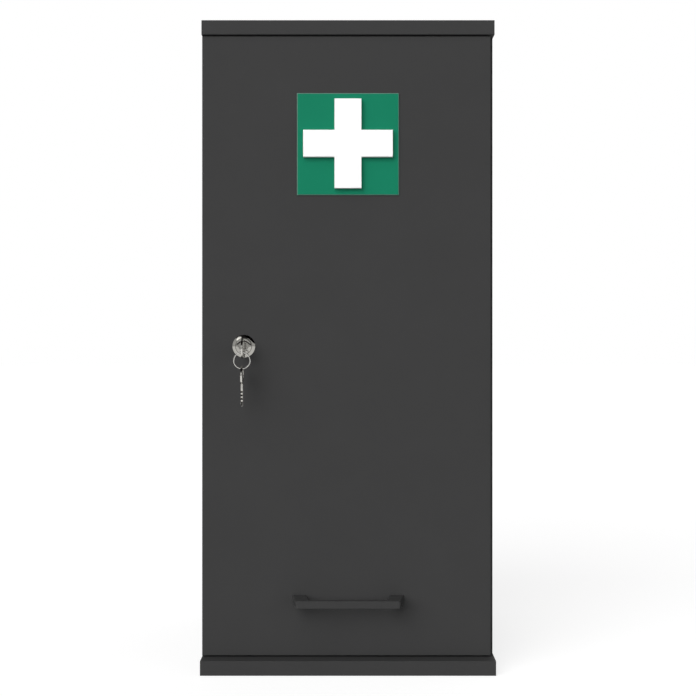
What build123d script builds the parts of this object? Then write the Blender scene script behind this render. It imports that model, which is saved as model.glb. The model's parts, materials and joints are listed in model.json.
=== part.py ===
"""Lockable medicine cabinet in millimetres: +Z up, the door faces -Y, origin under the middle of the base."""
import os
from math import cos, radians, sin

from build123d import *

os.makedirs("parts", exist_ok=True)

# Case: overall sizes and boards
width = 382.0
height = 850.0
carcass_depth = 284.0
board = 19.0
edge_break = 0.8
base_lip = 18.0           # how far the base stands out in front of the door
top_lip = 3.0             # how far the top stands out in front of the door
groove_depth = 7.0
back_panel_t = 4.0
back_panel_clearance = 0.3
rail_t = 16.0
rail_height = 70.0
shelf_t = 16.0
shelf_setback = 30.0      # shelf front edge behind the case front
shelf_clearance = 1.0
shelf_count = 3

# Door
door_t = 16.0
door_gap = 2.0            # between the door's back and the case
reveal_lock_side = 0.5
reveal_hinge_side = 4.5
reveal_top = 1.2
reveal_bottom = 2.0

# Hinge: 35 mm cup, link and arm; pivots are measured from the door's edge and the door's back
hinge_inset = 100.0       # hinge centre from the door's ends
cup_r = 17.5
cup_depth = 11.3
cup_wall = 1.1
cup_edge = 5.0            # rim of the bore to the door's edge
cup_bore_extra = 0.5
cup_bore_play = 0.05
flange_t = 1.0
flange_half_length = 31.0
flange_inner_reach = 12.5
flange_corner_r = 6.0
cup_screw_spacing = 48.0
cup_screw_offset = 6.0
cup_pivot_from_edge = 10.0
cup_pivot_depth = 4.8
arm_pivot_from_side = 17.0
arm_pivot_ahead = 5.2     # in front of the case's front edge
hinge_pin_r = 1.3
hinge_pin_play = 0.05
link_width = 11.4
link_t = 2.2
link_sag = 3.6
link_eye_r = 2.4
arm_sheet = 1.4
arm_play = 0.3
arm_nose_r = 3.3
arm_length = 62.0
arm_height = 14.0
arm_web_offset = 2.0      # web on the cavity side of the arm's pivot
arm_neck_length = 8.0
arm_neck_back = 2.0       # behind the case's front edge
arm_end_slope = (6.0, 4.0)
arm_screw_head_r = 3.6
arm_screw_head_t = 1.8
arm_screw_length = 9.0
plate_t = 2.0
plate_wing_width = 20.0
plate_wing_half_length = 24.0
plate_from_front = 37.0
plate_screw_spacing = 32.0
plate_corner_r = 5.0
ridge_length = 40.0
ridge_foot = (3.0, 2.0)   # margin round the ridge, along y and z
seat_play = 0.1

# Lock, strike and keys
lock_from_door_left = 54.5
rosette_r = 14.8
rosette_t = 2.2
rosette_rim_r = 1.65
lock_head_r = 10.4
lock_head_t = 2.5
lock_head_rim_r = 1.25
lock_barrel_r = 9.3
lock_hole_play = 0.2
lock_behind_door = 6.5
lock_nut_r = 13.0
lock_nut_t = 5.0
plug_r = 6.0
plug_play = 0.05
plug_face_relief = 0.6
cam_t = 2.0
cam_reach = 31.0
cam_half_width = 7.0
cam_hub_r = 9.0
cam_square = 6.0
cam_standoff = 0.3
cam_screw_head_r = 5.1
cam_screw_head_t = 2.0
cam_screw_bite = 2.0
cam_screw_end_gap = 1.0
strike_t = 2.0
strike_lip = 14.0
strike_half_height = 20.0
strike_leg = 26.0
strike_screw_spacing = 22.0
strike_screw_from_lip = 16.0
strike_clearance = 0.8
key_t = 2.2
key_blade_height = 8.0
key_blade_length = 23.0
key_tip_length = 3.2
key_root = 2.0            # how far the blade's outline reaches into the bow
key_play = 0.2
key_shoulder = 3.0
bow_r = 13.2
bow_drop = 2.7            # bow's centre below the blade's centre line
bow_hole_r = 2.75
bow_hole_from_centre = 8.1
bow_hole_turn = 68.0      # from straight down towards the front of the bow
ring_r = 10.4
ring_wire_r = 0.8
ring_play = 0.2
spare_bow_r = 12.0
spare_hole_margin = 2.4
spare_blade_length = 28.0
key_heel = 7.5            # plain length of the blade next to the bow
spare_heel = 8.4
tooth_pitch = 4.5
tooth_depth = 1.6
tooth_from_tip = 3.15

# Handle
handle_holes = 128.0
handle_reach = 35.0
handle_height = 10.0
handle_bar_t = 8.0
handle_foot_width = 17.0
handle_rake = 5.6         # how far each end leans in from the door to the front
handle_above_door_end = 74.4
handle_corner_r = 3.0
handle_screw_r = 2.0
handle_screw_head_r = 4.0
handle_screw_head_t = 2.2
handle_screw_bite = 10.0
handle_screw_end_gap = 1.0

# First-aid sign
sign_size = 133.5
sign_t = 2.0
sign_bevel = 1.0
sign_below_door_end = 141.3
cross_size = 116.4
cross_arm = 35.0
cross_t = 7.0
cross_bevel = 0.4

# Fastenings
dowel_r = 4.0
dowel_length = 34.0
dowel_in_end_panel = 12.0
cam_bolt_r = 3.0
cam_bolt_thread = 11.0
cam_bolt_reach = 24.0     # end of the side panel to the fitting's centre
cam_bolt_end_gap = 1.0
fitting_r = 7.4
fitting_depth = 12.5
fitting_slot = 7.4
fitting_slot_play = 1.0
fitting_recess_half = 2.4
fitting_recess_w = 1.2
hole_play = 0.1
fastener_from_front = 50.0
fastener_from_back = 62.0
dowel_spacing = 32.0
pin_r = 2.5
pin_in_wall = 9.0
pin_out = 8.0
pin_row_front = 58.0
pin_row_back = 68.0
pin_hole_pitch = 32.0
wall_hole_r = 3.0
wall_hole_spacing = 240.0
bumper_r = 4.0
bumper_play = 0.2         # bumper to the case's front edge when the door is shut
bumper_from_end = 40.0
rail_dowel_offset = 16.0
rail_dowel_in_rail = 20.0
screw_head_r = 3.4
screw_r = 1.8
screw_length = 13.0
recess_half = 1.7
recess_w = 0.8
recess_depth = 1.2

# Places worked out from the sizes above
half = width / 2
inner_half = half - board
back_y = (carcass_depth + door_gap + door_t + base_lip) / 2
case_front_y = back_y - carcass_depth
door_back_y = case_front_y - door_gap
door_front_y = door_back_y - door_t
base_front_y = door_front_y - base_lip
top_front_y = door_front_y - top_lip
floor_z = board
ceiling_z = height - board
side_height = ceiling_z - floor_z
rail_y = back_y - rail_t
panel_front_y = rail_y - back_panel_t

door_left = -half + reveal_lock_side
door_right = half - reveal_hinge_side
door_bottom = floor_z + reveal_bottom
door_top = ceiling_z - reveal_top
door_mid_x = (door_left + door_right) / 2
door_mid_z = (door_bottom + door_top) / 2
hinge_heights = {"lower": door_bottom + hinge_inset, "upper": door_top - hinge_inset}
handle_z = door_bottom + handle_above_door_end
sign_z = door_top - sign_below_door_end
lock_z = height / 2

cup_x = door_right - cup_edge - cup_r
cup_pivot = (door_right - cup_pivot_from_edge, door_back_y - cup_pivot_depth)
arm_pivot = (inner_half - arm_pivot_from_side, case_front_y - arm_pivot_ahead)
arm_inner_half = link_width / 2 + arm_play
arm_outer_half = arm_inner_half + arm_sheet
arm_web_x = arm_pivot[0] - arm_web_offset
plate_y = case_front_y + plate_from_front
cup_screw_x = cup_x - cup_screw_offset

lock_x = door_left + lock_from_door_left
lock_head_back_y = door_front_y - rosette_t
lock_face_y = lock_head_back_y - lock_head_t
lock_barrel_end_y = door_back_y + lock_behind_door
cam_front_y = lock_barrel_end_y + cam_standoff
cam_back_y = cam_front_y + cam_t
key_face_y = lock_face_y + plug_face_relief
bow_to_neck = (bow_r ** 2 - (key_blade_height / 2 + bow_drop) ** 2) ** 0.5
bow_y = key_face_y - key_shoulder - bow_to_neck
bow_z = lock_z - bow_drop
bow_hole_y = bow_y - bow_hole_from_centre * sin(radians(bow_hole_turn))
bow_hole_z = bow_z - bow_hole_from_centre * cos(radians(bow_hole_turn))
ring_top_z = bow_hole_z - bow_hole_r + ring_wire_r + ring_play
ring_bottom_z = ring_top_z - 2 * ring_r
spare_hole_z = ring_bottom_z + ring_wire_r + ring_play - bow_hole_r
spare_bow_z = spare_hole_z + bow_hole_r + spare_hole_margin - spare_bow_r

shelf_gap = (side_height - shelf_count * shelf_t) / (shelf_count + 1)
shelf_bottoms = [floor_z + shelf_gap + i * (shelf_gap + shelf_t) for i in range(shelf_count)]
shelf_names = ["shelf_lower", "shelf_middle", "shelf_upper"]
shelf_front_y = case_front_y + shelf_setback
shelf_back_y = panel_front_y - shelf_clearance
pin_rows = [case_front_y + pin_row_front, back_y - pin_row_back]
bolt_rows = [case_front_y + fastener_from_front, back_y - fastener_from_back]
dowel_rows = [y + dowel_spacing * s for y, s in zip(bolt_rows, (1, -1))]
bolt_x = half - board / 2
rail_heights = {"lower": floor_z + rail_height / 2, "upper": ceiling_z - rail_height / 2}
bumper_t = door_gap - bumper_play
bumper_spots = [(-bolt_x, z) for z in (door_bottom + bumper_from_end, door_top - bumper_from_end)]
rail_mid_y = rail_y + rail_t / 2
rail_dowel_spots = [(rail_mid_y, z + s * rail_dowel_offset) for z in rail_heights.values() for s in (-1, 1)]
rail_dowel_in_side = dowel_in_end_panel


def front_plane(y):
    """Plane at depth y: local x is right, local y is up and its normal points to the front."""
    return Plane.XZ.offset(-y)


def side_plane(x):
    """Plane at x: local x runs to the back, local y is up and its normal points right."""
    return Plane.YZ.offset(x)


def level(z):
    return Plane.XY.offset(z)


def save(solid, name):
    """Label a finished piece and write its STEP file."""
    solid.label = name
    export_step(solid, f"parts/{name}.step")


def screw(point, towards, length=screw_length, head_r=screw_head_r, shank_r=screw_r):
    """Countersunk screw, its head flush at point and its shank running along towards."""
    plane = Plane(origin=point, z_dir=towards)
    with BuildPart() as body:
        with BuildSketch(plane):
            Circle(head_r)
        extrude(amount=head_r - shank_r, taper=45)
        with BuildSketch(plane):
            Circle(shank_r)
        extrude(amount=length)
        with BuildSketch(plane):
            Rectangle(2 * recess_half, recess_w)
            Rectangle(recess_w, 2 * recess_half)
        extrude(amount=recess_depth, mode=Mode.SUBTRACT)
    return body.part


def screw_hole(point, towards, length=screw_length, head_r=screw_head_r, shank_r=screw_r):
    """The space that such a screw takes, with its play, to be cut from the wood or sheet."""
    plane = Plane(origin=point, z_dir=towards)
    with BuildPart() as body:
        with BuildSketch(plane):
            Circle(shank_r + hole_play)
        extrude(amount=length + hole_play)
        if head_r:
            with BuildSketch(plane):
                Circle(head_r + hole_play)
            extrude(amount=head_r - shank_r, taper=45)
    return body.part


# ---- Case ----

def end_panel(z_low, front_y, inner_z, inward):
    """Top or base: a full-width board with the groove and the fastener holes on its inner face."""
    depth = back_y - front_y
    side_xs = [-bolt_x, bolt_x]
    with BuildPart() as panel:
        with BuildSketch(level(z_low)):
            with Locations((0, back_y - depth / 2)):
                Rectangle(width, depth)
        extrude(amount=board)
        front_edges = panel.edges().filter_by(Axis.X).group_by(Axis.Y)[0]
        chamfer(front_edges, edge_break)
        inner = Plane(origin=(0, 0, inner_z), x_dir=(1, 0, 0), z_dir=(0, 0, inward))
        flip = inward  # the sketch's y runs to the back on the base and to the front under the top
        with BuildSketch(inner):
            with Locations((0, flip * (panel_front_y + back_panel_t / 2))):
                Rectangle(2 * (inner_half + groove_depth), back_panel_t + back_panel_clearance)
        extrude(amount=-groove_depth, mode=Mode.SUBTRACT)
        with BuildSketch(inner):
            with Locations(*[(x, flip * y) for x in side_xs for y in bolt_rows]):
                Circle(cam_bolt_r + hole_play)
        extrude(amount=-cam_bolt_thread, mode=Mode.SUBTRACT)
        with BuildSketch(inner):
            with Locations(*[(x, flip * y) for x in side_xs for y in dowel_rows]):
                Circle(dowel_r + hole_play)
        extrude(amount=-dowel_in_end_panel, mode=Mode.SUBTRACT)
    return panel.part


top_panel = end_panel(ceiling_z, top_front_y, ceiling_z, -1)
base_panel = end_panel(0, base_front_y, floor_z, 1)
save(top_panel, "top_panel")
save(base_panel, "base_panel")


def side_panel(side):
    """Left (-1) or right (1) wall with its groove, pin rows and fastener holes."""
    mid_y = (case_front_y + back_y) / 2
    mid_z = (floor_z + ceiling_z) / 2
    inner_x = side * inner_half
    ends = [(floor_z, 1), (ceiling_z, -1)]
    with BuildPart() as panel:
        with BuildSketch(side_plane(inner_x)):
            with Locations((mid_y, mid_z)):
                Rectangle(carcass_depth, side_height)
        extrude(amount=side * board)
        chamfer(panel.edges().filter_by(Axis.Z).group_by(Axis.Y)[0], edge_break)
        with BuildSketch(side_plane(inner_x)):
            with Locations((panel_front_y + back_panel_t / 2, mid_z)):
                Rectangle(back_panel_t + back_panel_clearance, side_height)
        extrude(amount=side * groove_depth, mode=Mode.SUBTRACT)
        with BuildSketch(side_plane(inner_x)):
            for bottom in shelf_bottoms:
                for y in pin_rows:
                    with Locations(*[(y, bottom - pin_r + s * pin_hole_pitch) for s in (-1, 0, 1)]):
                        Circle(pin_r + hole_play)
        extrude(amount=side * (pin_in_wall + hole_play), mode=Mode.SUBTRACT)
        with BuildSketch(side_plane(inner_x)):
            for end_z, into in ends:
                for y in bolt_rows:
                    with Locations((y, end_z + into * cam_bolt_reach)):
                        Circle(fitting_r + hole_play)
        extrude(amount=side * (fitting_depth + hole_play), mode=Mode.SUBTRACT)
        for end_z, into in ends:
            with BuildSketch(Plane(origin=(side * bolt_x, 0, end_z), x_dir=(0, 1, 0), z_dir=(0, 0, into))):
                with Locations(*[(y, 0) for y in bolt_rows]):
                    Circle(cam_bolt_r + 2 * hole_play)
            extrude(amount=cam_bolt_reach, mode=Mode.SUBTRACT)
            with BuildSketch(Plane(origin=(side * bolt_x, 0, end_z), x_dir=(0, 1, 0), z_dir=(0, 0, into))):
                with Locations(*[(y, 0) for y in dowel_rows]):
                    Circle(dowel_r + hole_play)
            extrude(amount=dowel_length - dowel_in_end_panel, mode=Mode.SUBTRACT)
        with BuildSketch(side_plane(inner_x)):
            with Locations(*rail_dowel_spots):
                Circle(dowel_r + hole_play)
        extrude(amount=side * (rail_dowel_in_side + hole_play), mode=Mode.SUBTRACT)
        for point, towards in side_screws[side]:
            add(screw_hole(point, towards, head_r=0), mode=Mode.SUBTRACT)
    return panel.part


strike_leg_y = cam_front_y - strike_clearance - strike_t
strike_screw_y = strike_leg_y + strike_screw_from_lip
strike_screws_at = [
    ((-inner_half + strike_t, strike_screw_y, lock_z + s * strike_screw_spacing / 2), (-1, 0, 0)) for s in (-1, 1)
]
plate_screws_at = [
    ((inner_half - plate_t, plate_y, z + s * plate_screw_spacing / 2), (1, 0, 0))
    for z in hinge_heights.values()
    for s in (-1, 1)
]
side_screws = {-1: strike_screws_at, 1: plate_screws_at}

save(side_panel(-1), "left_side_panel")
save(side_panel(1), "right_side_panel")

panel_in_groove = groove_depth - back_panel_clearance
with BuildPart() as back_panel:
    with BuildSketch(front_plane(rail_y)):
        with Locations((0, (floor_z + ceiling_z) / 2)):
            Rectangle(2 * (inner_half + panel_in_groove), side_height + 2 * panel_in_groove)
    extrude(amount=back_panel_t)
    with BuildSketch(front_plane(rail_y)):
        with Locations((0, (floor_z + ceiling_z) / 2)):
            with GridLocations(wall_hole_spacing, rail_heights["upper"] - rail_heights["lower"], 2, 2):
                Circle(wall_hole_r)
    extrude(amount=back_panel_t, mode=Mode.SUBTRACT)
save(back_panel.part, "back_panel")

for place, z in rail_heights.items():
    with BuildPart() as rail:
        with BuildSketch(front_plane(back_y)):
            with Locations((0, z)):
                Rectangle(2 * inner_half, rail_height)
            with Locations((-wall_hole_spacing / 2, z), (wall_hole_spacing / 2, z)):
                Circle(wall_hole_r, mode=Mode.SUBTRACT)
        extrude(amount=rail_t)
        for side in (-1, 1):
            with BuildSketch(side_plane(side * inner_half)):
                with Locations(*[(rail_mid_y, z + s * rail_dowel_offset) for s in (-1, 1)]):
                    Circle(dowel_r + hole_play)
            extrude(amount=-side * (rail_dowel_in_rail + hole_play), mode=Mode.SUBTRACT)
    save(rail.part, f"wall_rail_{place}")

shelf_mid_y = (shelf_front_y + shelf_back_y) / 2
for name, z in zip(shelf_names, shelf_bottoms):
    with BuildPart() as shelf:
        with BuildSketch(level(z)):
            with Locations((0, shelf_mid_y)):
                Rectangle(2 * (inner_half - shelf_clearance), shelf_back_y - shelf_front_y)
        extrude(amount=shelf_t)
        chamfer(shelf.edges().filter_by(Axis.X).group_by(Axis.Y)[0], edge_break)
    save(shelf.part, name)

with BuildPart() as shelf_pins:
    for side in (-1, 1):
        with BuildSketch(side_plane(side * (inner_half - pin_out))):
            with Locations(*[(y, z - pin_r) for y in pin_rows for z in shelf_bottoms]):
                Circle(pin_r)
        extrude(amount=side * (pin_out + pin_in_wall))
save(shelf_pins.part, "shelf_pins")

with BuildPart() as wooden_dowels:
    for end_z, into in ((floor_z, 1), (ceiling_z, -1)):
        with BuildSketch(level(end_z - into * dowel_in_end_panel)):
            with Locations(*[(side * bolt_x, y) for side in (-1, 1) for y in dowel_rows]):
                Circle(dowel_r)
        extrude(amount=into * (dowel_length - 2 * hole_play))
    for side in (-1, 1):
        with BuildSketch(side_plane(side * (inner_half - rail_dowel_in_rail))):
            with Locations(*rail_dowel_spots):
                Circle(dowel_r)
        extrude(amount=side * (rail_dowel_in_rail + rail_dowel_in_side))
save(wooden_dowels.part, "wooden_dowels")

with BuildPart() as cam_bolts:
    for end_z, into in ((floor_z, 1), (ceiling_z, -1)):
        with BuildSketch(level(end_z - into * cam_bolt_thread)):
            with Locations(*[(side * bolt_x, y) for side in (-1, 1) for y in bolt_rows]):
                Circle(cam_bolt_r)
        extrude(amount=into * (cam_bolt_thread + cam_bolt_reach - cam_bolt_end_gap))
save(cam_bolts.part, "cam_bolts")

with BuildPart() as cam_fittings:
    for side in (-1, 1):
        mouth = side_plane(side * inner_half)
        for end_z, into in ((floor_z, 1), (ceiling_z, -1)):
            centre_z = end_z + into * cam_bolt_reach
            with BuildSketch(mouth):
                with Locations(*[(y, centre_z) for y in bolt_rows]):
                    Circle(fitting_r)
            extrude(amount=side * fitting_depth)
            with BuildSketch(mouth):
                with Locations(*[(y, centre_z) for y in bolt_rows]):
                    Rectangle(2 * fitting_recess_half, fitting_recess_w)
                    Rectangle(fitting_recess_w, 2 * fitting_recess_half)
            extrude(amount=side * recess_depth, mode=Mode.SUBTRACT)
            with BuildSketch(side_plane(side * (bolt_x - cam_bolt_r - fitting_slot_play))):
                with Locations(*[(y, centre_z - into * fitting_r / 2) for y in bolt_rows]):
                    Rectangle(fitting_slot, fitting_r)
            extrude(amount=side * fitting_depth, mode=Mode.SUBTRACT)
save(cam_fittings.part, "cam_fittings")


# ---- Door ----

cup_bore_r = cup_r + cup_bore_play
door_screws_at = [
    ((cup_screw_x, door_back_y + flange_t, z + s * cup_screw_spacing / 2), (0, -1, 0))
    for z in hinge_heights.values()
    for s in (-1, 1)
]
handle_screw_spots = [(-handle_holes / 2, handle_z), (handle_holes / 2, handle_z)]

with BuildPart() as door_panel:
    with BuildSketch(front_plane(door_back_y)):
        with Locations((door_mid_x, door_mid_z)):
            Rectangle(door_right - door_left, door_top - door_bottom)
    extrude(amount=door_t)
    chamfer(door_panel.faces().sort_by(Axis.Y)[0].edges(), edge_break)
    with BuildSketch(front_plane(door_back_y)):
        with Locations(*[(cup_x, z) for z in hinge_heights.values()]):
            Circle(cup_bore_r)
    extrude(amount=cup_depth + cup_bore_extra, mode=Mode.SUBTRACT)
    with BuildSketch(front_plane(door_back_y)):
        with Locations((lock_x, lock_z)):
            Circle(lock_barrel_r + lock_hole_play)
        with Locations(*handle_screw_spots):
            Circle(handle_screw_r + hole_play)
    extrude(amount=door_t, mode=Mode.SUBTRACT)
    for point, towards in door_screws_at:
        add(screw_hole(point, towards), mode=Mode.SUBTRACT)
save(door_panel.part, "door_panel")

# Bow handle: a raked bridge with two feet, drilled from behind for its screws
foot_out = handle_holes / 2 + handle_foot_width / 2
foot_in = handle_holes / 2 - handle_foot_width / 2
bar_front_y = door_front_y - handle_reach
bar_back_y = bar_front_y + handle_bar_t
inner_rake = handle_rake * (handle_reach - handle_bar_t) / handle_reach
with BuildPart() as door_handle:
    with BuildSketch(level(handle_z - handle_height / 2)):
        with BuildLine():
            Polyline(
                (-foot_out, door_front_y),
                (-foot_out + handle_rake, bar_front_y),
                (foot_out - handle_rake, bar_front_y),
                (foot_out, door_front_y),
                (foot_in, door_front_y),
                (foot_in - inner_rake, bar_back_y),
                (-foot_in + inner_rake, bar_back_y),
                (-foot_in, door_front_y),
                close=True,
            )
        make_face()
    extrude(amount=handle_height)
    upright = door_handle.edges().filter_by(Axis.Z)
    fillet(upright.group_by(Axis.Y)[0], handle_corner_r)
    chamfer(door_handle.edges().filter_by(Axis.X).group_by(Axis.Y)[0], edge_break)
    with BuildSketch(front_plane(door_front_y)):
        with Locations(*handle_screw_spots):
            Circle(handle_screw_r + hole_play)
    extrude(amount=handle_screw_bite + handle_screw_end_gap, mode=Mode.SUBTRACT)
save(door_handle.part, "door_handle")

with BuildPart() as handle_screws:
    with BuildSketch(front_plane(door_back_y + handle_screw_head_t)):
        with Locations(*handle_screw_spots):
            Circle(handle_screw_head_r)
    extrude(amount=handle_screw_head_t)
    with BuildSketch(front_plane(door_back_y)):
        with Locations(*handle_screw_spots):
            Circle(handle_screw_r)
    extrude(amount=door_t + handle_screw_bite)
    with BuildSketch(front_plane(door_back_y + handle_screw_head_t)):
        with Locations(*handle_screw_spots):
            Rectangle(2 * recess_half, recess_w)
            Rectangle(recess_w, 2 * recess_half)
    extrude(amount=recess_depth, mode=Mode.SUBTRACT)
save(handle_screws.part, "handle_screws")

with BuildPart() as sign_plate:
    with BuildSketch(front_plane(door_front_y)):
        with Locations((0, sign_z)):
            Rectangle(sign_size, sign_size)
    extrude(amount=sign_t)
    chamfer(sign_plate.faces().sort_by(Axis.Y)[0].edges(), sign_bevel)
save(sign_plate.part, "sign_plate")

with BuildPart() as sign_cross:
    with BuildSketch(front_plane(door_front_y - sign_t)):
        with Locations((0, sign_z)):
            Rectangle(cross_size, cross_arm)
            Rectangle(cross_arm, cross_size)
    extrude(amount=cross_t)
    chamfer(sign_cross.faces().sort_by(Axis.Y)[0].edges(), cross_bevel)
save(sign_cross.part, "sign_cross")

with BuildPart() as door_bumpers:
    with BuildSketch(front_plane(door_back_y + bumper_t)):
        with Locations(*bumper_spots):
            Circle(bumper_r)
    extrude(amount=bumper_t)
save(door_bumpers.part, "door_bumpers")


# ---- Hinges ----

def hinge_cup(z):
    """Drilled-in cup with its flange, pierced for the link's pin and the two screws."""
    flange_back_y = door_back_y + flange_t
    flange_out = cup_r
    flange_width = flange_out + flange_inner_reach
    with BuildPart() as cup:
        with BuildSketch(front_plane(door_back_y)):
            with Locations((cup_x, z)):
                Circle(cup_r)
        extrude(amount=cup_depth)
        with BuildSketch(front_plane(flange_back_y)):
            with Locations((cup_x + (flange_out - flange_inner_reach) / 2, z)):
                RectangleRounded(flange_width, 2 * flange_half_length, flange_corner_r)
        extrude(amount=flange_t)
        with BuildSketch(front_plane(flange_back_y)):
            with Locations((cup_x, z)):
                Circle(cup_r - cup_wall)
        extrude(amount=flange_t + cup_depth - cup_wall, mode=Mode.SUBTRACT)
        with BuildSketch(level(z - cup_r)):
            with Locations(cup_pivot):
                Circle(hinge_pin_r)
        extrude(amount=2 * cup_r, mode=Mode.SUBTRACT)
        for s in (-1, 1):
            at = (cup_screw_x, flange_back_y, z + s * cup_screw_spacing / 2)
            add(screw_hole(at, (0, -1, 0)), mode=Mode.SUBTRACT)
    return cup.part


def hinge_link(z):
    """Cranked link: an eye on the arm's pin, an eye on the cup's pin and a web that dips into the cup."""
    middle = ((arm_pivot[0] + cup_pivot[0]) / 2, (arm_pivot[1] + cup_pivot[1]) / 2 - link_sag)
    with BuildPart() as link:
        with BuildSketch(level(z - link_width / 2)):
            with BuildLine() as path:
                ThreePointArc(arm_pivot, middle, cup_pivot)
            trace(path.line, link_t)
            with Locations(arm_pivot, cup_pivot):
                Circle(link_eye_r)
            with Locations(arm_pivot, cup_pivot):
                Circle(hinge_pin_r + hinge_pin_play, mode=Mode.SUBTRACT)
        extrude(amount=link_width)
    return link.part


def hinge_arm(z):
    """Channel-section arm: two cheeks with the pivot nose, joined by a web that sits on the ridge."""
    neck_y = case_front_y + arm_neck_back
    shoulder_y = neck_y + arm_neck_length
    back_end_y = arm_pivot[1] + arm_length
    web_back_x = arm_web_x + arm_height
    with BuildPart() as arm:
        with BuildSketch(level(z - arm_outer_half)):
            with BuildLine():
                Polyline(
                    (arm_pivot[0] - arm_nose_r, arm_pivot[1]),
                    (arm_pivot[0] + arm_nose_r, arm_pivot[1]),
                    (arm_pivot[0] + arm_nose_r, neck_y),
                    (web_back_x, shoulder_y),
                    (web_back_x, back_end_y - arm_end_slope[1]),
                    (web_back_x - arm_end_slope[0], back_end_y),
                    (arm_web_x, back_end_y),
                    (arm_web_x, shoulder_y),
                    (arm_pivot[0] - arm_nose_r, neck_y),
                    close=True,
                )
            make_face()
            with Locations(arm_pivot):
                Circle(arm_nose_r)
                Circle(hinge_pin_r, mode=Mode.SUBTRACT)
        extrude(amount=2 * arm_outer_half)
        inside = Plane(origin=(arm_web_x + arm_sheet, 0, z), x_dir=(0, 1, 0), z_dir=(1, 0, 0))
        with BuildSketch(inside):
            with Locations(((shoulder_y + back_end_y) / 2, 0)):
                Rectangle(back_end_y - shoulder_y, 2 * arm_inner_half)
        extrude(amount=arm_height, mode=Mode.SUBTRACT)
        with BuildSketch(inside):
            with Locations(((base_front_y + shoulder_y) / 2, 0)):
                Rectangle(shoulder_y - base_front_y, 2 * arm_inner_half)
        extrude(amount=arm_height, both=True, mode=Mode.SUBTRACT)
        with BuildSketch(inside):
            with Locations((plate_y, 0)):
                Circle(handle_screw_r + hole_play)
        extrude(amount=-arm_sheet, mode=Mode.SUBTRACT)
    return arm.part


def hinge_plate(z):
    """Mounting plate: winged base on the side panel and the ridge that carries the arm."""
    ridge_top_x = arm_web_x + arm_sheet
    ridge_half = arm_inner_half - seat_play
    with BuildPart() as plate:
        with BuildSketch(side_plane(inner_half)):
            with Locations((plate_y, z)):
                RectangleRounded(plate_wing_width, 2 * plate_wing_half_length, plate_corner_r)
                Rectangle(ridge_length + 2 * ridge_foot[0], 2 * (ridge_half + ridge_foot[1]))
        extrude(amount=-plate_t)
        with BuildSketch(side_plane(inner_half - plate_t)):
            with Locations((plate_y, z)):
                Rectangle(ridge_length, 2 * ridge_half)
        extrude(amount=-(inner_half - plate_t - ridge_top_x))
        with BuildSketch(side_plane(ridge_top_x)):
            with Locations((plate_y, z)):
                Circle(handle_screw_r + hole_play)
        extrude(amount=arm_screw_length, mode=Mode.SUBTRACT)
        for s in (-1, 1):
            at = (inner_half - plate_t, plate_y, z + s * plate_screw_spacing / 2)
            add(screw_hole(at, (1, 0, 0)), mode=Mode.SUBTRACT)
    return plate.part


for place, z in hinge_heights.items():
    save(hinge_cup(z), f"hinge_cup_{place}")
    save(hinge_link(z), f"hinge_link_{place}")
    save(hinge_arm(z), f"hinge_arm_{place}")
    save(hinge_plate(z), f"hinge_plate_{place}")

cup_pin_half = ((cup_r - cup_wall) ** 2 - (cup_pivot[0] - cup_x) ** 2) ** 0.5
pin_sets = {"arm_pins": (arm_pivot, arm_outer_half), "cup_pins": (cup_pivot, cup_pin_half)}
for name, (centre, half_length) in pin_sets.items():
    with BuildPart() as pins:
        for z in hinge_heights.values():
            with BuildSketch(level(z - half_length)):
                with Locations(centre):
                    Circle(hinge_pin_r)
            extrude(amount=2 * half_length)
    save(pins.part, name)

with BuildPart() as arm_screws:
    for z in hinge_heights.values():
        head = Plane(origin=(arm_web_x, plate_y, z), x_dir=(0, 1, 0), z_dir=(-1, 0, 0))
        with BuildSketch(head):
            Circle(arm_screw_head_r)
        extrude(amount=arm_screw_head_t)
        with BuildSketch(head):
            Circle(handle_screw_r)
        extrude(amount=-arm_screw_length)
        with BuildSketch(head.offset(arm_screw_head_t)):
            Rectangle(2 * recess_half, recess_w)
            Rectangle(recess_w, 2 * recess_half)
        extrude(amount=-recess_depth, mode=Mode.SUBTRACT)
save(arm_screws.part, "arm_screws")

screw_sets = {
    "cup_screws": door_screws_at,
    "hinge_plate_screws": plate_screws_at,
    "strike_screws": strike_screws_at,
}
for name, spots in screw_sets.items():
    made = [screw(point, towards) for point, towards in spots]
    with BuildPart() as group:
        add(made)
    save(group.part, name)


# ---- Lock ----

with BuildPart() as lock_rosette:
    with BuildSketch(front_plane(door_front_y)):
        with Locations((lock_x, lock_z)):
            Circle(rosette_r)
            Circle(lock_barrel_r + lock_hole_play, mode=Mode.SUBTRACT)
    extrude(amount=rosette_t)
    rim = lock_rosette.edges().filter_by(GeomType.CIRCLE).group_by(Axis.Y)[0].sort_by(SortBy.RADIUS)[-1]
    fillet(rim, rosette_rim_r)
save(lock_rosette.part, "lock_rosette")

with BuildPart() as lock_housing:
    with BuildSketch(front_plane(lock_head_back_y)):
        with Locations((lock_x, lock_z)):
            Circle(lock_head_r)
    extrude(amount=lock_head_t)
    rim = lock_housing.edges().filter_by(GeomType.CIRCLE).group_by(Axis.Y)[0]
    fillet(rim, lock_head_rim_r)
    with BuildSketch(front_plane(lock_barrel_end_y)):
        with Locations((lock_x, lock_z)):
            Circle(lock_barrel_r)
    extrude(amount=lock_barrel_end_y - lock_head_back_y)
    with BuildSketch(front_plane(lock_barrel_end_y)):
        with Locations((lock_x, lock_z)):
            Circle(plug_r + plug_play)
    extrude(amount=lock_barrel_end_y - lock_face_y, mode=Mode.SUBTRACT)
save(lock_housing.part, "lock_housing")

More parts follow.
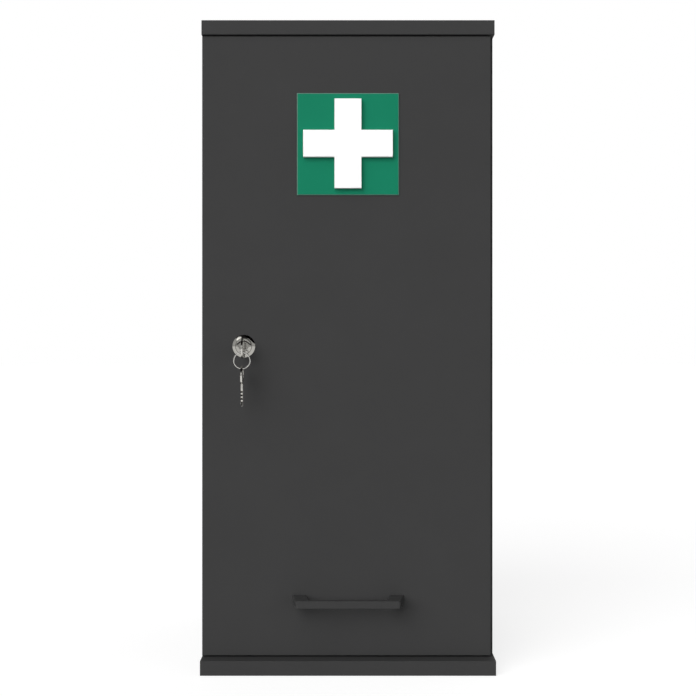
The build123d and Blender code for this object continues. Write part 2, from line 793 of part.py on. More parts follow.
with BuildPart() as lock_nut:
    with BuildSketch(front_plane(door_back_y + lock_nut_t)):
        with Locations((lock_x, lock_z)):
            RegularPolygon(lock_nut_r, 6)
            Circle(lock_barrel_r + hole_play / 2, mode=Mode.SUBTRACT)
    extrude(amount=lock_nut_t)
save(lock_nut.part, "lock_nut")

keyway_w = key_t + 2 * key_play
keyway_h = key_blade_height + 2 * key_play
with BuildPart() as lock_plug:
    with BuildSketch(front_plane(lock_barrel_end_y)):
        with Locations((lock_x, lock_z)):
            Circle(plug_r)
    extrude(amount=lock_barrel_end_y - key_face_y)
    with BuildSketch(front_plane(cam_back_y)):
        with Locations((lock_x, lock_z)):
            Rectangle(cam_square, cam_square)
    extrude(amount=cam_back_y - lock_barrel_end_y)
    with BuildSketch(front_plane(key_face_y)):
        with Locations((lock_x, lock_z)):
            Rectangle(keyway_w, keyway_h)
    extrude(amount=-(key_blade_length + key_play), mode=Mode.SUBTRACT)
    with BuildSketch(front_plane(cam_back_y)):
        with Locations((lock_x, lock_z)):
            Circle(screw_r + hole_play)
    extrude(amount=cam_screw_bite + cam_screw_end_gap, mode=Mode.SUBTRACT)
save(lock_plug.part, "lock_plug")

with BuildPart() as lock_cam:
    with BuildSketch(front_plane(cam_back_y)):
        with Locations((lock_x, lock_z)):
            Circle(cam_hub_r)
        with Locations((lock_x, lock_z - (cam_reach - cam_half_width) / 2)):
            SlotCenterToCenter(cam_reach - cam_half_width, 2 * cam_half_width, rotation=90)
        with Locations((lock_x, lock_z)):
            Rectangle(cam_square + hole_play, cam_square + hole_play, mode=Mode.SUBTRACT)
    extrude(amount=cam_t)
save(lock_cam.part, "lock_cam")

with BuildPart() as cam_screw:
    head = front_plane(cam_back_y + cam_screw_head_t)
    with BuildSketch(head):
        with Locations((lock_x, lock_z)):
            Circle(cam_screw_head_r)
    extrude(amount=cam_screw_head_t)
    with BuildSketch(head):
        with Locations((lock_x, lock_z)):
            Circle(screw_r)
    extrude(amount=cam_screw_head_t + cam_screw_bite)
    with BuildSketch(head):
        with Locations((lock_x, lock_z)):
            Rectangle(2 * recess_half, recess_w)
            Rectangle(recess_w, 2 * recess_half)
    extrude(amount=recess_depth, mode=Mode.SUBTRACT)
save(cam_screw.part, "cam_screw")

with BuildPart() as strike_plate:
    with BuildSketch(level(lock_z - strike_half_height)):
        with BuildLine():
            Polyline(
                (-inner_half, strike_leg_y),
                (-inner_half + strike_lip, strike_leg_y),
                (-inner_half + strike_lip, strike_leg_y + strike_t),
                (-inner_half + strike_t, strike_leg_y + strike_t),
                (-inner_half + strike_t, strike_leg_y + strike_leg),
                (-inner_half, strike_leg_y + strike_leg),
                close=True,
            )
        make_face()
    extrude(amount=2 * strike_half_height)
    for point, towards in strike_screws_at:
        add(screw_hole(point, towards), mode=Mode.SUBTRACT)
save(strike_plate.part, "strike_plate")


# ---- Keys ----

def toothed_blade(root, along, length, heel):
    """Outline of a blade that runs from root along (y, z), with cuts on one edge and a sloped tip."""
    ay, az = along
    ny, nz = -az, ay
    half_height = key_blade_height / 2

    def at(distance, offset):
        return (root[0] + ay * distance + ny * offset, root[1] + az * distance + nz * offset)

    slope_start = length - key_tip_length
    points = [at(0, half_height), at(slope_start, half_height), at(length, 0), at(slope_start, -half_height)]
    cut = slope_start - tooth_from_tip
    while cut > heel:
        points += [at(cut, -half_height + tooth_depth), at(cut - tooth_pitch / 2, -half_height)]
        cut -= tooth_pitch
    return points + [at(0, -half_height)]


def flat_key(bow_at, radius, hole_at, blade, x):
    """Flat key: a round bow with its ring hole and a toothed blade, in the plane at x."""
    with BuildPart() as flat:
        with BuildSketch(side_plane(x - key_t / 2)):
            with Locations(bow_at):
                Circle(radius)
            with BuildLine():
                Polyline(*blade, close=True)
            make_face()
            with Locations(hole_at):
                Circle(bow_hole_r, mode=Mode.SUBTRACT)
        extrude(amount=key_t)
    return flat.part


key_blade = toothed_blade((key_face_y - key_shoulder - key_root, lock_z), (1, 0),
                          key_blade_length + key_shoulder + key_root, key_heel)
save(flat_key((bow_y, bow_z), bow_r, (bow_hole_y, bow_hole_z), key_blade, lock_x), "key")

with BuildPart() as key_ring:
    with BuildLine(front_plane(bow_hole_y)) as hoop:
        CenterArc((lock_x, ring_top_z - ring_r), ring_r, 0, 360)
    with BuildSketch(Plane(origin=(lock_x + ring_r, bow_hole_y, ring_top_z - ring_r), z_dir=(0, 0, 1))):
        Circle(ring_wire_r)
    sweep(path=hoop.line)
save(key_ring.part, "key_ring")

spare_blade = toothed_blade((bow_hole_y, spare_bow_z - spare_bow_r + key_root), (0, -1),
                            spare_blade_length + key_root, spare_heel)
spare_key = flat_key((bow_hole_y, spare_bow_z), spare_bow_r, (bow_hole_y, spare_hole_z), spare_blade, lock_x)
save(spare_key, "spare_key")

print("hinge pivots (arm, cup):", arm_pivot, cup_pivot)
print("hinge heights:", hinge_heights)
print("lock:", lock_x, lock_z, "ring top:", bow_hole_y, ring_top_z, "ring bottom:", ring_bottom_z)
print("shelf bottoms:", shelf_bottoms)
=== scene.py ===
"""Looks of the lockable medicine cabinet, in metres, in the CAD frame: +Z up, the door faces -Y."""
import json
from math import cos, pi, radians, sin

import bmesh
import bpy
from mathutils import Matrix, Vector


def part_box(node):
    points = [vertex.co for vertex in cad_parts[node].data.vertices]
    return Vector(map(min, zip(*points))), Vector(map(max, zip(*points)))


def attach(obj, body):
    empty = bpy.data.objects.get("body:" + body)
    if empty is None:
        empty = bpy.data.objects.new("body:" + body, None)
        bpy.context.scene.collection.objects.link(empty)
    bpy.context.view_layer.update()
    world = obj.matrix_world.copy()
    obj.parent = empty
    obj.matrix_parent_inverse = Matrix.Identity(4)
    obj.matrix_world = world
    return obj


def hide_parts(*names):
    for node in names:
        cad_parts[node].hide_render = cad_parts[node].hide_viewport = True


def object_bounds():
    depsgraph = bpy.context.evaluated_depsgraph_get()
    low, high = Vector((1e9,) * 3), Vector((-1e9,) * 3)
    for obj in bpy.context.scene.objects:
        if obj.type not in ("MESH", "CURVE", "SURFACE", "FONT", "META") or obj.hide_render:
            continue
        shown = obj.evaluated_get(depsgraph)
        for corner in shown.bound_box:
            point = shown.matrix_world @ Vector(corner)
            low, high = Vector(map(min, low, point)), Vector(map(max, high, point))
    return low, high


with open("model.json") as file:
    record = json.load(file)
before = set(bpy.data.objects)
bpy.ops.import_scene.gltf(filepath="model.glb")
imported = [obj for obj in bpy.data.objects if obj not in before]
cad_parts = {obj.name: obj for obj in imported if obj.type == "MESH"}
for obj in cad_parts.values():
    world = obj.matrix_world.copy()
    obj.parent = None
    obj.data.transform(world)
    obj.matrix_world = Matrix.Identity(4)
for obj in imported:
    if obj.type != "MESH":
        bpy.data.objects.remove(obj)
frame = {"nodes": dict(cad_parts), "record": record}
cad_low, cad_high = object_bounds()
nodes = frame["nodes"]

MM = 0.001

# ---- Where things are, read from the frame ----

rosette_low, rosette_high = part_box("lock_rosette")
housing_low, housing_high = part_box("lock_housing")
plug_low, plug_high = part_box("lock_plug")
ring_low, ring_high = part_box("key_ring")
key_low, key_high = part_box("key")
spare_low, spare_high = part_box("spare_key")
sign_low, sign_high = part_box("sign_plate")
lock_x = (rosette_low.x + rosette_high.x) / 2
lock_z = (rosette_low.z + rosette_high.z) / 2
door_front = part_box("door_panel")[0].y
case_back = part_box("top_panel")[1].y

# ---- The photograph's camera ----

PHOTO_PX = 696
HORIZON_PX = 329.35       # row of the photograph that lies at the eye's height
DOOR_MM_PER_PX = 1.3054   # scale of the door's face in the photograph
EYE_Z = 0.447
LENS = 58.0
SENSOR = 36.0

camera_data = bpy.data.cameras.new("camera")
camera_data.lens = LENS
camera_data.sensor_width = SENSOR
camera_data.shift_y = (HORIZON_PX - PHOTO_PX / 2) / PHOTO_PX
camera = bpy.data.objects.new("camera", camera_data)
camera_distance = DOOR_MM_PER_PX * MM * PHOTO_PX * LENS / SENSOR
camera.location = (0, door_front - camera_distance, EYE_Z)
camera.rotation_euler = (pi / 2, 0, 0)
bpy.context.scene.collection.objects.link(camera)
bpy.context.scene.camera = camera


# ---- Materials ----

class Nodes:
    """Short way to write a node tree."""

    def __init__(self, name):
        self.material = bpy.data.materials.new(name)
        self.material.use_nodes = True
        self.tree = self.material.node_tree
        self.shader = self.tree.nodes["Principled BSDF"]
        self.place = self.node("ShaderNodeTexCoord").outputs["Object"]

    def node(self, kind, **settings):
        made = self.tree.nodes.new(kind)
        for key, value in settings.items():
            setattr(made, key, value)
        return made

    def link(self, out, into):
        self.tree.links.new(out, into)

    def set(self, **values):
        for key, value in values.items():
            self.shader.inputs[key.replace("_", " ")].default_value = value

    def noise(self, scale, detail=3.0, roughness=0.5, stretch=None):
        """Noise over the object's own place; stretch squeezes it along an axis."""
        made = self.node("ShaderNodeTexNoise")
        made.inputs["Scale"].default_value = scale
        made.inputs["Detail"].default_value = detail
        made.inputs["Roughness"].default_value = roughness
        source = self.place
        if stretch:
            mapping = self.node("ShaderNodeMapping")
            mapping.inputs["Scale"].default_value = stretch
            self.link(source, mapping.inputs["Vector"])
            source = mapping.outputs["Vector"]
        self.link(source, made.inputs["Vector"])
        return made.outputs["Fac"]

    def ramp(self, value, low, high, start=0.3, end=0.7):
        """value between start and end becomes a number between low and high."""
        made = self.node("ShaderNodeMapRange")
        made.inputs["From Min"].default_value = start
        made.inputs["From Max"].default_value = end
        made.inputs["To Min"].default_value = low
        made.inputs["To Max"].default_value = high
        self.link(value, made.inputs["Value"])
        return made.outputs["Result"]

    def mix(self, factor, first, second):
        """Colour between first and second; each is a colour or a socket."""
        made = self.node("ShaderNodeMix", data_type="RGBA")
        self.link(factor, made.inputs["Factor"])
        for value, socket in ((first, made.inputs[6]), (second, made.inputs[7])):
            if isinstance(value, tuple):
                socket.default_value = (*value, 1)
            else:
                self.link(value, socket)
        return made.outputs[2]

    def bump(self, height, depth, strength):
        made = self.node("ShaderNodeBump")
        made.inputs["Distance"].default_value = depth
        made.inputs["Strength"].default_value = strength
        self.link(height, made.inputs["Height"])
        self.link(made.outputs["Normal"], self.shader.inputs["Normal"])

    def math(self, value, operation, other):
        made = self.node("ShaderNodeMath", operation=operation)
        self.link(value, made.inputs[0])
        if isinstance(other, float):
            made.inputs[1].default_value = other
        else:
            self.link(other, made.inputs[1])
        return made.outputs[0]


ANTHRACITE = (0.0432, 0.0432, 0.0434)
ANTHRACITE_LIGHT = (0.0452, 0.0452, 0.0454)
COAT = (0.0405, 0.0405, 0.0408)
CHIPBOARD = (0.36, 0.25, 0.15)
CHIPBOARD_DARK = (0.17, 0.105, 0.055)
PEARL_SCALE = 900.0
BOARD_SHEEN = 0.08
COAT_SHEEN = 0.1
PLASTIC_SHEEN = 0.06
RAW_EDGE_DEPTH = 0.3 * MM  # how far raw chipboard reaches round the boards' back edges
SIGN_RIM = 1.2 * MM        # paler strip on the sign's bevel: its pale raw edge plus a painted highlight


def faced_board(name, raw_back=False):
    """Matt melamine with a fine pearl; the case's back edges are raw chipboard."""
    m = Nodes(name)
    cloud = m.noise(14.0, 4.0)
    colour = m.mix(m.ramp(cloud, 0.0, 1.0), ANTHRACITE, ANTHRACITE_LIGHT)
    if raw_back:
        chips = m.noise(420.0, 6.0, 0.7, (1.0, 1.0, 2.2))
        wood = m.mix(m.ramp(chips, 0.0, 1.0, 0.35, 0.62), CHIPBOARD_DARK, CHIPBOARD)
        apart = m.node("ShaderNodeSeparateXYZ")
        m.link(m.place, apart.inputs[0])
        at_back = m.math(apart.outputs["Y"], "GREATER_THAN", float(case_back - RAW_EDGE_DEPTH))
        colour = m.mix(at_back, colour, wood)
    m.link(colour, m.shader.inputs["Base Color"])
    m.link(m.ramp(m.noise(60.0, 2.0), 0.55, 0.65), m.shader.inputs["Roughness"])
    m.set(Specular_IOR_Level=BOARD_SHEEN)
    m.bump(m.noise(PEARL_SCALE, 2.0, 0.6), 0.05 * MM, 0.5)
    return m.material


def powder_coat(name):
    """Fine-textured powder coat, a shade darker than the boards."""
    m = Nodes(name)
    m.link(m.mix(m.ramp(m.noise(40.0), 0.0, 1.0), COAT, ANTHRACITE), m.shader.inputs["Base Color"])
    m.link(m.ramp(m.noise(120.0, 2.0), 0.36, 0.46), m.shader.inputs["Roughness"])
    m.set(Specular_IOR_Level=COAT_SHEEN)
    m.bump(m.noise(1400.0, 2.0), 0.04 * MM, 0.5)
    return m.material


def metal(name, colour, rough_low, rough_high, brush=None, scratch_depth=0.01 * MM, polish=1.0):
    """Plated metal; brush stretches its fine marks along an axis, and polish below 1 is a duller plating."""
    m = Nodes(name)
    marks = m.noise(700.0, 4.0, 0.6, brush)
    darker = tuple(c * 0.86 for c in colour)
    m.link(m.mix(m.ramp(m.noise(90.0, 3.0), 0.0, 1.0), darker, colour), m.shader.inputs["Base Color"])
    m.link(m.ramp(marks, rough_low, rough_high), m.shader.inputs["Roughness"])
    m.set(Metallic=polish)
    m.bump(marks, scratch_depth, 0.5)
    return m.material


def moulded(name, colour, shade, rough, rim=None):
    """Satin plastic with a little variation and a fine grain; rim is (colour, box low, box high, width)."""
    m = Nodes(name)
    face = m.mix(m.ramp(m.noise(25.0), 0.0, 1.0), shade, colour)
    if rim:
        # rim paints a paler strip round the box's outer edge: on the sign, the plate's pale raw edge plus a
        # painted highlight where its bevel catches the light
        edge_colour, low, high, width = rim
        apart = m.node("ShaderNodeSeparateXYZ")
        m.link(m.place, apart.inputs[0])
        across = m.math(apart.outputs["X"], "SUBTRACT", float((low.x + high.x) / 2))
        upward = m.math(apart.outputs["Z"], "SUBTRACT", float((low.z + high.z) / 2))
        reach = m.math(m.math(across, "ABSOLUTE", 0.0), "MAXIMUM", m.math(upward, "ABSOLUTE", 0.0))
        on_rim = m.math(reach, "GREATER_THAN", float((high.x - low.x) / 2 - width))
        face = m.mix(on_rim, face, edge_colour)
    m.link(face, m.shader.inputs["Base Color"])
    m.link(m.ramp(m.noise(200.0, 2.0), rough * 0.9, rough * 1.1), m.shader.inputs["Roughness"])
    m.set(Specular_IOR_Level=PLASTIC_SHEEN)
    m.bump(m.noise(1100.0, 2.0), 0.03 * MM, 0.4)
    return m.material


def soft_buffer(name):
    """Clear, slightly cloudy rubber."""
    m = Nodes(name)
    m.link(m.mix(m.noise(300.0), (0.75, 0.76, 0.76), (0.86, 0.87, 0.87)), m.shader.inputs["Base Color"])
    m.set(Roughness=0.25, Transmission_Weight=0.55, IOR=1.45)
    m.bump(m.noise(900.0), 0.02 * MM, 0.3)
    return m.material


def beech(name):
    """Bare wood with its grain upright."""
    m = Nodes(name)
    grain = m.noise(160.0, 5.0, 0.6, (6.0, 6.0, 0.5))
    wood = m.mix(m.ramp(grain, 0.0, 1.0), (0.45, 0.27, 0.13), (0.62, 0.42, 0.24))
    m.link(wood, m.shader.inputs["Base Color"])
    m.set(Roughness=0.7)
    m.bump(grain, 0.1 * MM, 0.6)
    return m.material


materials = {
    "board": faced_board("melamine_board"),
    "case_board": faced_board("melamine_case_board", raw_back=True),
    "back_board": faced_board("melamine_back_board"),
    "bare_wood": beech("beech_dowel"),
    "zinc": metal("zinc_plated_steel", (0.56, 0.57, 0.58), 0.3, 0.46, polish=0.7),
    "hinge_steel": metal("nickel_plated_hinge", (0.63, 0.62, 0.59), 0.26, 0.38, (1.0, 0.15, 1.0), 0.006 * MM,
                         polish=0.75),
    "handle_coat": powder_coat("anthracite_powder_coat"),
    "sign_green": moulded("sign_green_plastic", (0.0075, 0.198, 0.108), (0.0065, 0.19, 0.102), 0.42,
                          rim=((0.1, 0.2, 0.16), sign_low, sign_high, SIGN_RIM)),
    "sign_white": moulded("sign_white_plastic", (0.96, 0.96, 0.96), (0.945, 0.945, 0.945), 0.4),
    "lock_chrome": metal("polished_chrome", (0.44, 0.43, 0.4), 0.05, 0.09, None, 0.001 * MM),
    "key_steel": metal("nickel_plated_key", (0.6, 0.585, 0.55), 0.12, 0.22, (1.0, 0.2, 1.0), 0.004 * MM),
    "ring_steel": metal("nickel_plated_wire", (0.6, 0.59, 0.565), 0.1, 0.18, None, 0.002 * MM),
    "bumper": soft_buffer("clear_buffer"),
}

slot_of = {part["node"]: part["material_slot"] for part in frame["record"]["subparts"]}
CASE_BOARDS = ("top_panel", "base_panel", "left_side_panel", "right_side_panel")


# ---- Dressing the CAD nodes ----

SMOOTH_ANGLE = radians(34)
BEVEL_ANGLE = radians(35)
WELD_REACH = 0.002 * MM


def smoothing_group():
    """Geometry nodes that shade smooth and keep edges sharper than an angle sharp."""
    group = bpy.data.node_groups.new("smooth_by_angle", "GeometryNodeTree")
    group.interface.new_socket("Geometry", in_out="INPUT", socket_type="NodeSocketGeometry")
    group.interface.new_socket("Geometry", in_out="OUTPUT", socket_type="NodeSocketGeometry")
    entry = group.nodes.new("NodeGroupInput")
    end = group.nodes.new("NodeGroupOutput")
    faces = group.nodes.new("GeometryNodeSetShadeSmooth")
    edges = group.nodes.new("GeometryNodeSetShadeSmooth")
    edges.domain = "EDGE"
    turn = group.nodes.new("GeometryNodeInputMeshEdgeAngle")
    flatter = group.nodes.new("ShaderNodeMath")
    flatter.operation = "LESS_THAN"
    flatter.inputs[1].default_value = SMOOTH_ANGLE
    faces.inputs["Shade Smooth"].default_value = True
    group.links.new(entry.outputs[0], faces.inputs["Geometry"])
    group.links.new(faces.outputs[0], edges.inputs["Geometry"])
    group.links.new(turn.outputs["Unsigned Angle"], flatter.inputs[0])
    group.links.new(flatter.outputs[0], edges.inputs["Shade Smooth"])
    group.links.new(edges.outputs[0], end.inputs[0])
    return group


smooth_by_angle = smoothing_group()


def smoothed(thing):
    """Shade by angle and let large faces keep their own normals."""
    shade = thing.modifiers.new("shade", "NODES")
    shade.node_group = smooth_by_angle
    weigh = thing.modifiers.new("weigh", "WEIGHTED_NORMAL")
    weigh.keep_sharp = True
    weigh.weight = 80


def dress(node, edge):
    """Give a CAD node its material and, where edge is not 0, rounded edges of that width."""
    thing = nodes[node]
    thing.data.materials.clear()
    look = "case_board" if node in CASE_BOARDS else slot_of[node]
    thing.data.materials.append(materials[look])
    weld = thing.modifiers.new("weld", "WELD")
    weld.merge_threshold = WELD_REACH
    if edge:
        bevel = thing.modifiers.new("bevel", "BEVEL")
        bevel.width = edge
        bevel.segments = 2
        bevel.limit_method = "ANGLE"
        bevel.angle_limit = BEVEL_ANGLE
    if "custom_normal" in thing.data.attributes:
        thing.data.attributes.remove(thing.data.attributes["custom_normal"])
    smoothed(thing)


BOARD_EDGE = 0.35 * MM
METAL_EDGE = 0.15 * MM
edge_of_slot = {
    "board": BOARD_EDGE, "back_board": BOARD_EDGE,
    "hinge_steel": METAL_EDGE, "zinc": METAL_EDGE, "lock_chrome": METAL_EDGE,
    "handle_coat": 0.6 * MM, "sign_green": 0.15 * MM, "sign_white": 0.2 * MM, "bumper": 0.5 * MM,
}
for node in nodes:
    dress(node, edge_of_slot.get(slot_of[node], 0))


# ---- Pieces made here in place of plainer CAD nodes ----

def piece(name, mesh, body, replaced, smooth_angle=35):
    """Link a finished mesh as a piece that stands for a CAD node."""
    thing = bpy.data.objects.new(name, mesh)
    bpy.context.scene.collection.objects.link(thing)
    mesh.materials.clear()
    mesh.materials.append(materials[slot_of[replaced]])
    mesh.polygons.foreach_set("use_smooth", [True] * len(mesh.polygons))
    mesh.set_sharp_from_angle(angle=radians(smooth_angle))
    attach(thing, body)
    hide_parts(replaced)
    return thing


def lathe(name, profile, centre, steps=96):
    """Mesh turned about a line along Y through centre (x, z); profile is closed, as (radius, y)."""
    bm = bmesh.new()
    rings = []
    for i in range(steps):
        a = 2 * pi * i / steps
        rings.append([bm.verts.new((centre[0] + r * cos(a), y, centre[1] + r * sin(a))) for r, y in profile])
    count = len(profile)
    for i in range(steps):
        here, there = rings[i], rings[(i + 1) % steps]
        for k in range(count):
            j = (k + 1) % count
            bm.faces.new((here[k], here[j], there[j], there[k]))
    bmesh.ops.recalc_face_normals(bm, faces=bm.faces)
    mesh = bpy.data.meshes.new(name)
    bm.to_mesh(mesh)
    bm.free()
    return mesh


def arc_points(centre, radius, start, end, count):
    """Points on an arc in the (radius, y) plane, angles in degrees."""
    turns = [radians(start + (end - start) * i / count) for i in range(count + 1)]
    return [(centre[0] + radius * cos(t), centre[1] + radius * sin(t)) for t in turns]


# Rosette: a pressed ring that slopes down to the door, with a seat for the lock's head
rosette_r = (rosette_high.x - rosette_low.x) / 2
head_r = (housing_high.x - housing_low.x) / 2
barrel_r = 9.3 * MM
barrel_play = 0.2 * MM
seat_rim = 0.35 * MM      # width and depth of the seat that the head sits in
seat_bevel = 0.1 * MM
plug_play = 0.05 * MM
rosette_back = rosette_high.y
rosette_front = rosette_low.y
brim = 0.4 * MM
crown_r = head_r + 0.6 * MM
SLOPE_BULGE = 0.07
SLOPE_STEPS = 8


def slope_point(share):
    """Point on the rosette's slightly convex slope, from its brim (0) to its crown (1)."""
    rise = rosette_back - brim - rosette_front
    climbed = share + 4 * SLOPE_BULGE * share * (1 - share)
    return (rosette_r + (crown_r - rosette_r) * share, rosette_back - brim - rise * climbed)


rosette_profile = (
    [(barrel_r + barrel_play, rosette_back), (rosette_r, rosette_back)]
    + [slope_point(i / SLOPE_STEPS) for i in range(SLOPE_STEPS + 1)]
    + [(head_r + seat_rim, rosette_front + seat_bevel), (head_r + barrel_play, rosette_front + seat_rim),
       (barrel_r + barrel_play, rosette_front + seat_rim)]
)
piece("rosette", lathe("rosette", rosette_profile, (lock_x, lock_z)), "door", "lock_rosette")

# Housing: a domed head that falls off towards its edge, a lip round the plug and the barrel through the door
plug_r = (plug_high.x - plug_low.x) / 2
head_front = housing_low.y
barrel_end = housing_high.y
head_edge = 0.8 * MM
dome_fall = 0.75 * MM
dome_power = 6            # the head is flat in the middle and curves more towards its edge
lip_bevel = 0.25 * MM
lip_depth = 0.4 * MM
DOME_STEPS = 12


def dome_y(radius):
    """Where the front of the head lies at this radius."""
    return head_front + dome_fall * (radius / head_r) ** dome_power


dome_width = head_r - head_edge - plug_r - lip_bevel
dome_radii = [plug_r + lip_bevel + dome_width * i / DOME_STEPS for i in range(DOME_STEPS + 1)]
edge_centre = (head_r - head_edge, dome_y(head_r - head_edge) + head_edge)
housing_profile = (
    [(plug_r + plug_play, barrel_end), (barrel_r, barrel_end), (barrel_r, rosette_front + seat_rim),
     (head_r, rosette_front + seat_rim)]
    + arc_points(edge_centre, head_edge, 0, -75, 8)
    + [(r, dome_y(r)) for r in reversed(dome_radii)]
    + [(plug_r + plug_play, head_front + lip_depth)]
)
piece("housing", lathe("housing", housing_profile, (lock_x, lock_z)), "door", "lock_housing")

# Key ring: a split ring, wound not quite twice from flattened wire, in two layers
ring_x = (ring_low.x + ring_high.x) / 2
ring_y = (ring_low.y + ring_high.y) / 2
ring_z = (ring_low.z + ring_high.z) / 2
ring_half = (ring_high.x - ring_low.x) / 2
wire_half = (ring_high.y - ring_low.y) / 2
coil_thick = wire_half * 0.96
coil_r = ring_half - wire_half * 0.95
section = (wire_half * 0.9, coil_thick * 0.48)   # half width and half height of the flat wire
RAMP = 0.16               # share of a turn that the cross-over takes
COIL_START = radians(-50)
COIL_CLOSE = 0.985        # share of the two turns that is wound


def split_ring(name, steps_per_turn=64, round_steps=10):
    """Tube of flattened section along two stacked turns that cross over in a short ramp."""
    bm = bmesh.new()
    loops = []
    for i in range(2 * steps_per_turn + 1):
        turn = i / steps_per_turn
        angle = COIL_START + 2 * pi * turn * COIL_CLOSE
        slide = min(max((turn - (1 - RAMP / 2)) / RAMP, 0.0), 1.0)
        y = ring_y + coil_thick * (slide * slide * (3 - 2 * slide) - 0.5)
        out = Vector((cos(angle), 0, sin(angle)))
        centre = Vector((ring_x, y, ring_z)) + out * coil_r
        loop = []
        for k in range(round_steps):
            a = 2 * pi * k / round_steps
            sideways = out * (section[0] * cos(a))
            loop.append(bm.verts.new(centre + sideways + Vector((0, section[1] * sin(a), 0))))
        loops.append(loop)
    for here, there in zip(loops, loops[1:]):
        for k in range(round_steps):
            j = (k + 1) % round_steps
            bm.faces.new((here[k], here[j], there[j], there[k]))
    bm.faces.new(loops[0])
    bm.faces.new(loops[-1])
    bmesh.ops.recalc_face_normals(bm, faces=bm.faces)
    mesh = bpy.data.meshes.new(name)
    bm.to_mesh(mesh)
    bm.free()
    return mesh


piece("split_ring", split_ring("split_ring"), "key_ring", "key_ring", 50)

# Keys: a blade with a milled groove, and a bow with a raised rim and a boss round its hole
KEY_HALF = 1.1 * MM       # half thicknesses: the key, the bow's sunk field and the web under the groove
FIELD_HALF = 0.75 * MM
GROOVE_HALF = 0.5 * MM
HOLE_R = 2.75 * MM
BOSS = 1.5 * MM           # widths of the boss and of the rim
RIM = 1.7 * MM
BLADE_HALF = 4.0 * MM
GROOVE = 0.8 * MM         # half width of the groove
TIP = 3.2 * MM
ROOT = 1.2 * MM           # how far the blade reaches into the bow
WEB_POINT = 1.2 * MM      # length of the web's pointed end
HEEL = 4.5 * MM           # plain length of the blade next to the bow
OVERLAP = 0.1 * MM
KEY_BEVEL = 0.18 * MM
SUNK_BEVEL = 0.05 * MM
CORNER_ANGLE = radians(60)  # edges that turn more than this get the bevel
TOOTH_PITCH = 4.5 * MM
TOOTH_DEPTH = 1.6 * MM
TOOTH_FROM_TIP = 3.15 * MM


def circle_points(centre, radius, steps=56):
    """Corners of a closed circle in the key's own plane."""
    return [(centre[0] + radius * cos(2 * pi * i / steps), centre[1] + radius * sin(2 * pi * i / steps))
            for i in range(steps)]


def slab(bm, outline, hole, half, edge=KEY_BEVEL):
    """Add a plate to bm: outline and hole lie in the key's own plane, and half is half its thickness."""
    made = bmesh.new()
    edges = []
    for loop in (outline, hole):
        corners = [made.verts.new((-half, y, z)) for y, z in loop]
        edges += [made.edges.new((a, b)) for a, b in zip(corners, corners[1:] + corners[:1])]
    bmesh.ops.triangle_fill(made, use_beauty=True, edges=edges)
    flat = made.faces[:]
    grown = bmesh.ops.extrude_face_region(made, geom=flat)["geom"]
    lifted = [v for v in grown if isinstance(v, bmesh.types.BMVert)]
    bmesh.ops.translate(made, vec=(2 * half, 0, 0), verts=lifted)
    bmesh.ops.recalc_face_normals(made, faces=made.faces)
    corners = [e for e in made.edges if len(e.link_faces) == 2 and e.calc_face_angle() > CORNER_ANGLE
               and abs(e.verts[0].co.x - e.verts[1].co.x) < half]
    bmesh.ops.bevel(made, geom=corners, offset=edge, segments=2, affect="EDGES", clamp_overlap=True)
    held = bpy.data.meshes.new("slab")
    made.to_mesh(held)
    made.free()
    bm.from_mesh(held)
    bpy.data.meshes.remove(held)


def key_mesh(name, x, bow, bow_r, hole, along, drop, length):
    """Key in the plane at x.

    along points from the bow to the tip, and drop is how far the blade runs beside the bow's centre.
    """
    bm = bmesh.new()
    across = (-along[1], along[0])

    def at(distance, offset):
        y = bow[0] + along[0] * distance + across[0] * offset
        z = bow[1] + along[1] * distance + across[1] * offset
        return (y, z)

    root = bow_r - ROOT
    slope = length - TIP
    lower = [at(slope, drop - BLADE_HALF)]
    cut = slope - TOOTH_FROM_TIP
    while cut > bow_r + HEEL:
        lower += [at(cut, drop - BLADE_HALF + TOOTH_DEPTH), at(cut - TOOTH_PITCH / 2, drop - BLADE_HALF)]
        cut -= TOOTH_PITCH
    tip_share = GROOVE / BLADE_HALF
    upper_band = [at(root, drop + GROOVE), at(length - TIP * tip_share, drop + GROOVE),
                  at(slope, drop + BLADE_HALF), at(root, drop + BLADE_HALF)]
    lower_band = ([at(root, drop - GROOVE), at(length - TIP * tip_share, drop - GROOVE)] + lower
                  + [at(root, drop - BLADE_HALF)])
    web_half = GROOVE + OVERLAP
    web_end = length - WEB_POINT
    web = [at(root, drop - web_half), at(web_end, drop - web_half), at(length - OVERLAP, drop),
           at(web_end, drop + web_half), at(root, drop + web_half)]
    slab(bm, upper_band, [], KEY_HALF)
    slab(bm, lower_band, [], KEY_HALF)
    slab(bm, web, [], GROOVE_HALF, SUNK_BEVEL)
    slab(bm, circle_points(bow, bow_r), circle_points(bow, bow_r - RIM), KEY_HALF)
    slab(bm, circle_points(hole, HOLE_R + BOSS), circle_points(hole, HOLE_R, 32), KEY_HALF)
    slab(bm, circle_points(bow, bow_r - RIM / 2), circle_points(hole, HOLE_R + BOSS / 2, 32), FIELD_HALF,
         SUNK_BEVEL)
    for vert in bm.verts:
        vert.co.x += x
    mesh = bpy.data.meshes.new(name)
    bm.to_mesh(mesh)
    bm.free()
    return mesh


